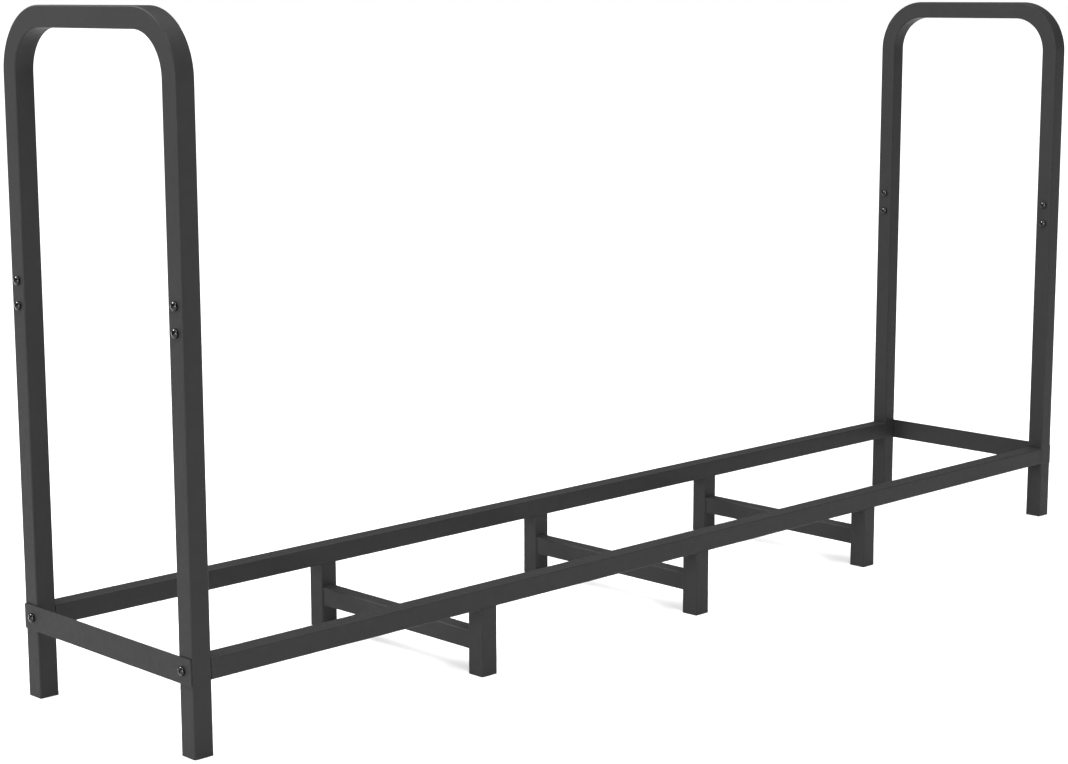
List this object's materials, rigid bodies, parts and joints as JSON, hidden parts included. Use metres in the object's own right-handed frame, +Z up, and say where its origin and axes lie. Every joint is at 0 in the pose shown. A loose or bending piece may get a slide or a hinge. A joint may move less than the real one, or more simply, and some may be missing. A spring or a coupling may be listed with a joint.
{
  "type": "firewood log rack",
  "caption": "Low steel firewood rack: two tall bent-tube end hoops on corner posts, joined by two long rails on short braced legs, open front, rear and top.",
  "frame": {"origin": "on the floor, under the middle of the rack", "axes": "+X along the rails towards the right-hand hoop, +Y from the front rail to the rear rail, +Z up"},
  "size_m": [2.0142, 0.4, 0.973],
  "materials": {
    "powder_coat": "dark charcoal powder coat, satin, fine orange-peel texture",
    "black_fastener": "gloss black screws and nuts",
    "plated_steel": "zinc plated, hidden inside the tubes",
    "black_plastic": "matt moulded plastic"
  },
  "bodies": {
    "root": {"left_hoop": "powder_coat", "right_hoop": "powder_coat", "front_left_post": "powder_coat", "rear_left_post": "powder_coat", "front_right_post": "powder_coat", "rear_right_post": "powder_coat", "front_rail": "powder_coat", "rear_rail": "powder_coat", "left_end_bar": "powder_coat", "right_end_bar": "powder_coat", "front_leg_1": "powder_coat", "rear_leg_1": "powder_coat", "front_leg_2": "powder_coat", "rear_leg_2": "powder_coat", "front_leg_3": "powder_coat", "rear_leg_3": "powder_coat", "cross_brace_1": "powder_coat", "cross_brace_2": "powder_coat", "cross_brace_3": "powder_coat", "front_left_sleeve": "plated_steel", "rear_left_sleeve": "plated_steel", "front_right_sleeve": "plated_steel", "rear_right_sleeve": "plated_steel", "front_rail_left_insert": "plated_steel", "front_rail_right_insert": "plated_steel", "rear_rail_left_insert": "plated_steel", "rear_rail_right_insert": "plated_steel", "front_left_lower_screw": "black_fastener", "front_left_upper_screw": "black_fastener", "rear_left_lower_screw": "black_fastener", "rear_left_upper_screw": "black_fastener", "front_right_lower_screw": "black_fastener", "front_right_upper_screw": "black_fastener", "rear_right_lower_screw": "black_fastener", "rear_right_upper_screw": "black_fastener", "front_left_lower_nut": "black_fastener", "front_left_upper_nut": "black_fastener", "rear_left_lower_nut": "black_fastener", "rear_left_upper_nut": "black_fastener", "front_right_lower_nut": "black_fastener", "front_right_upper_nut": "black_fastener", "rear_right_lower_nut": "black_fastener", "rear_right_upper_nut": "black_fastener", "front_left_bar_screw": "black_fastener", "rear_left_bar_screw": "black_fastener", "front_right_bar_screw": "black_fastener", "rear_right_bar_screw": "black_fastener", "front_left_foot_plug": "black_plastic", "rear_left_foot_plug": "black_plastic", "front_right_foot_plug": "black_plastic", "rear_right_foot_plug": "black_plastic", "front_leg_1_foot_plug": "black_plastic", "rear_leg_1_foot_plug": "black_plastic", "front_leg_2_foot_plug": "black_plastic", "rear_leg_2_foot_plug": "black_plastic", "front_leg_3_foot_plug": "black_plastic", "rear_leg_3_foot_plug": "black_plastic"}
  },
  "joints": []
}
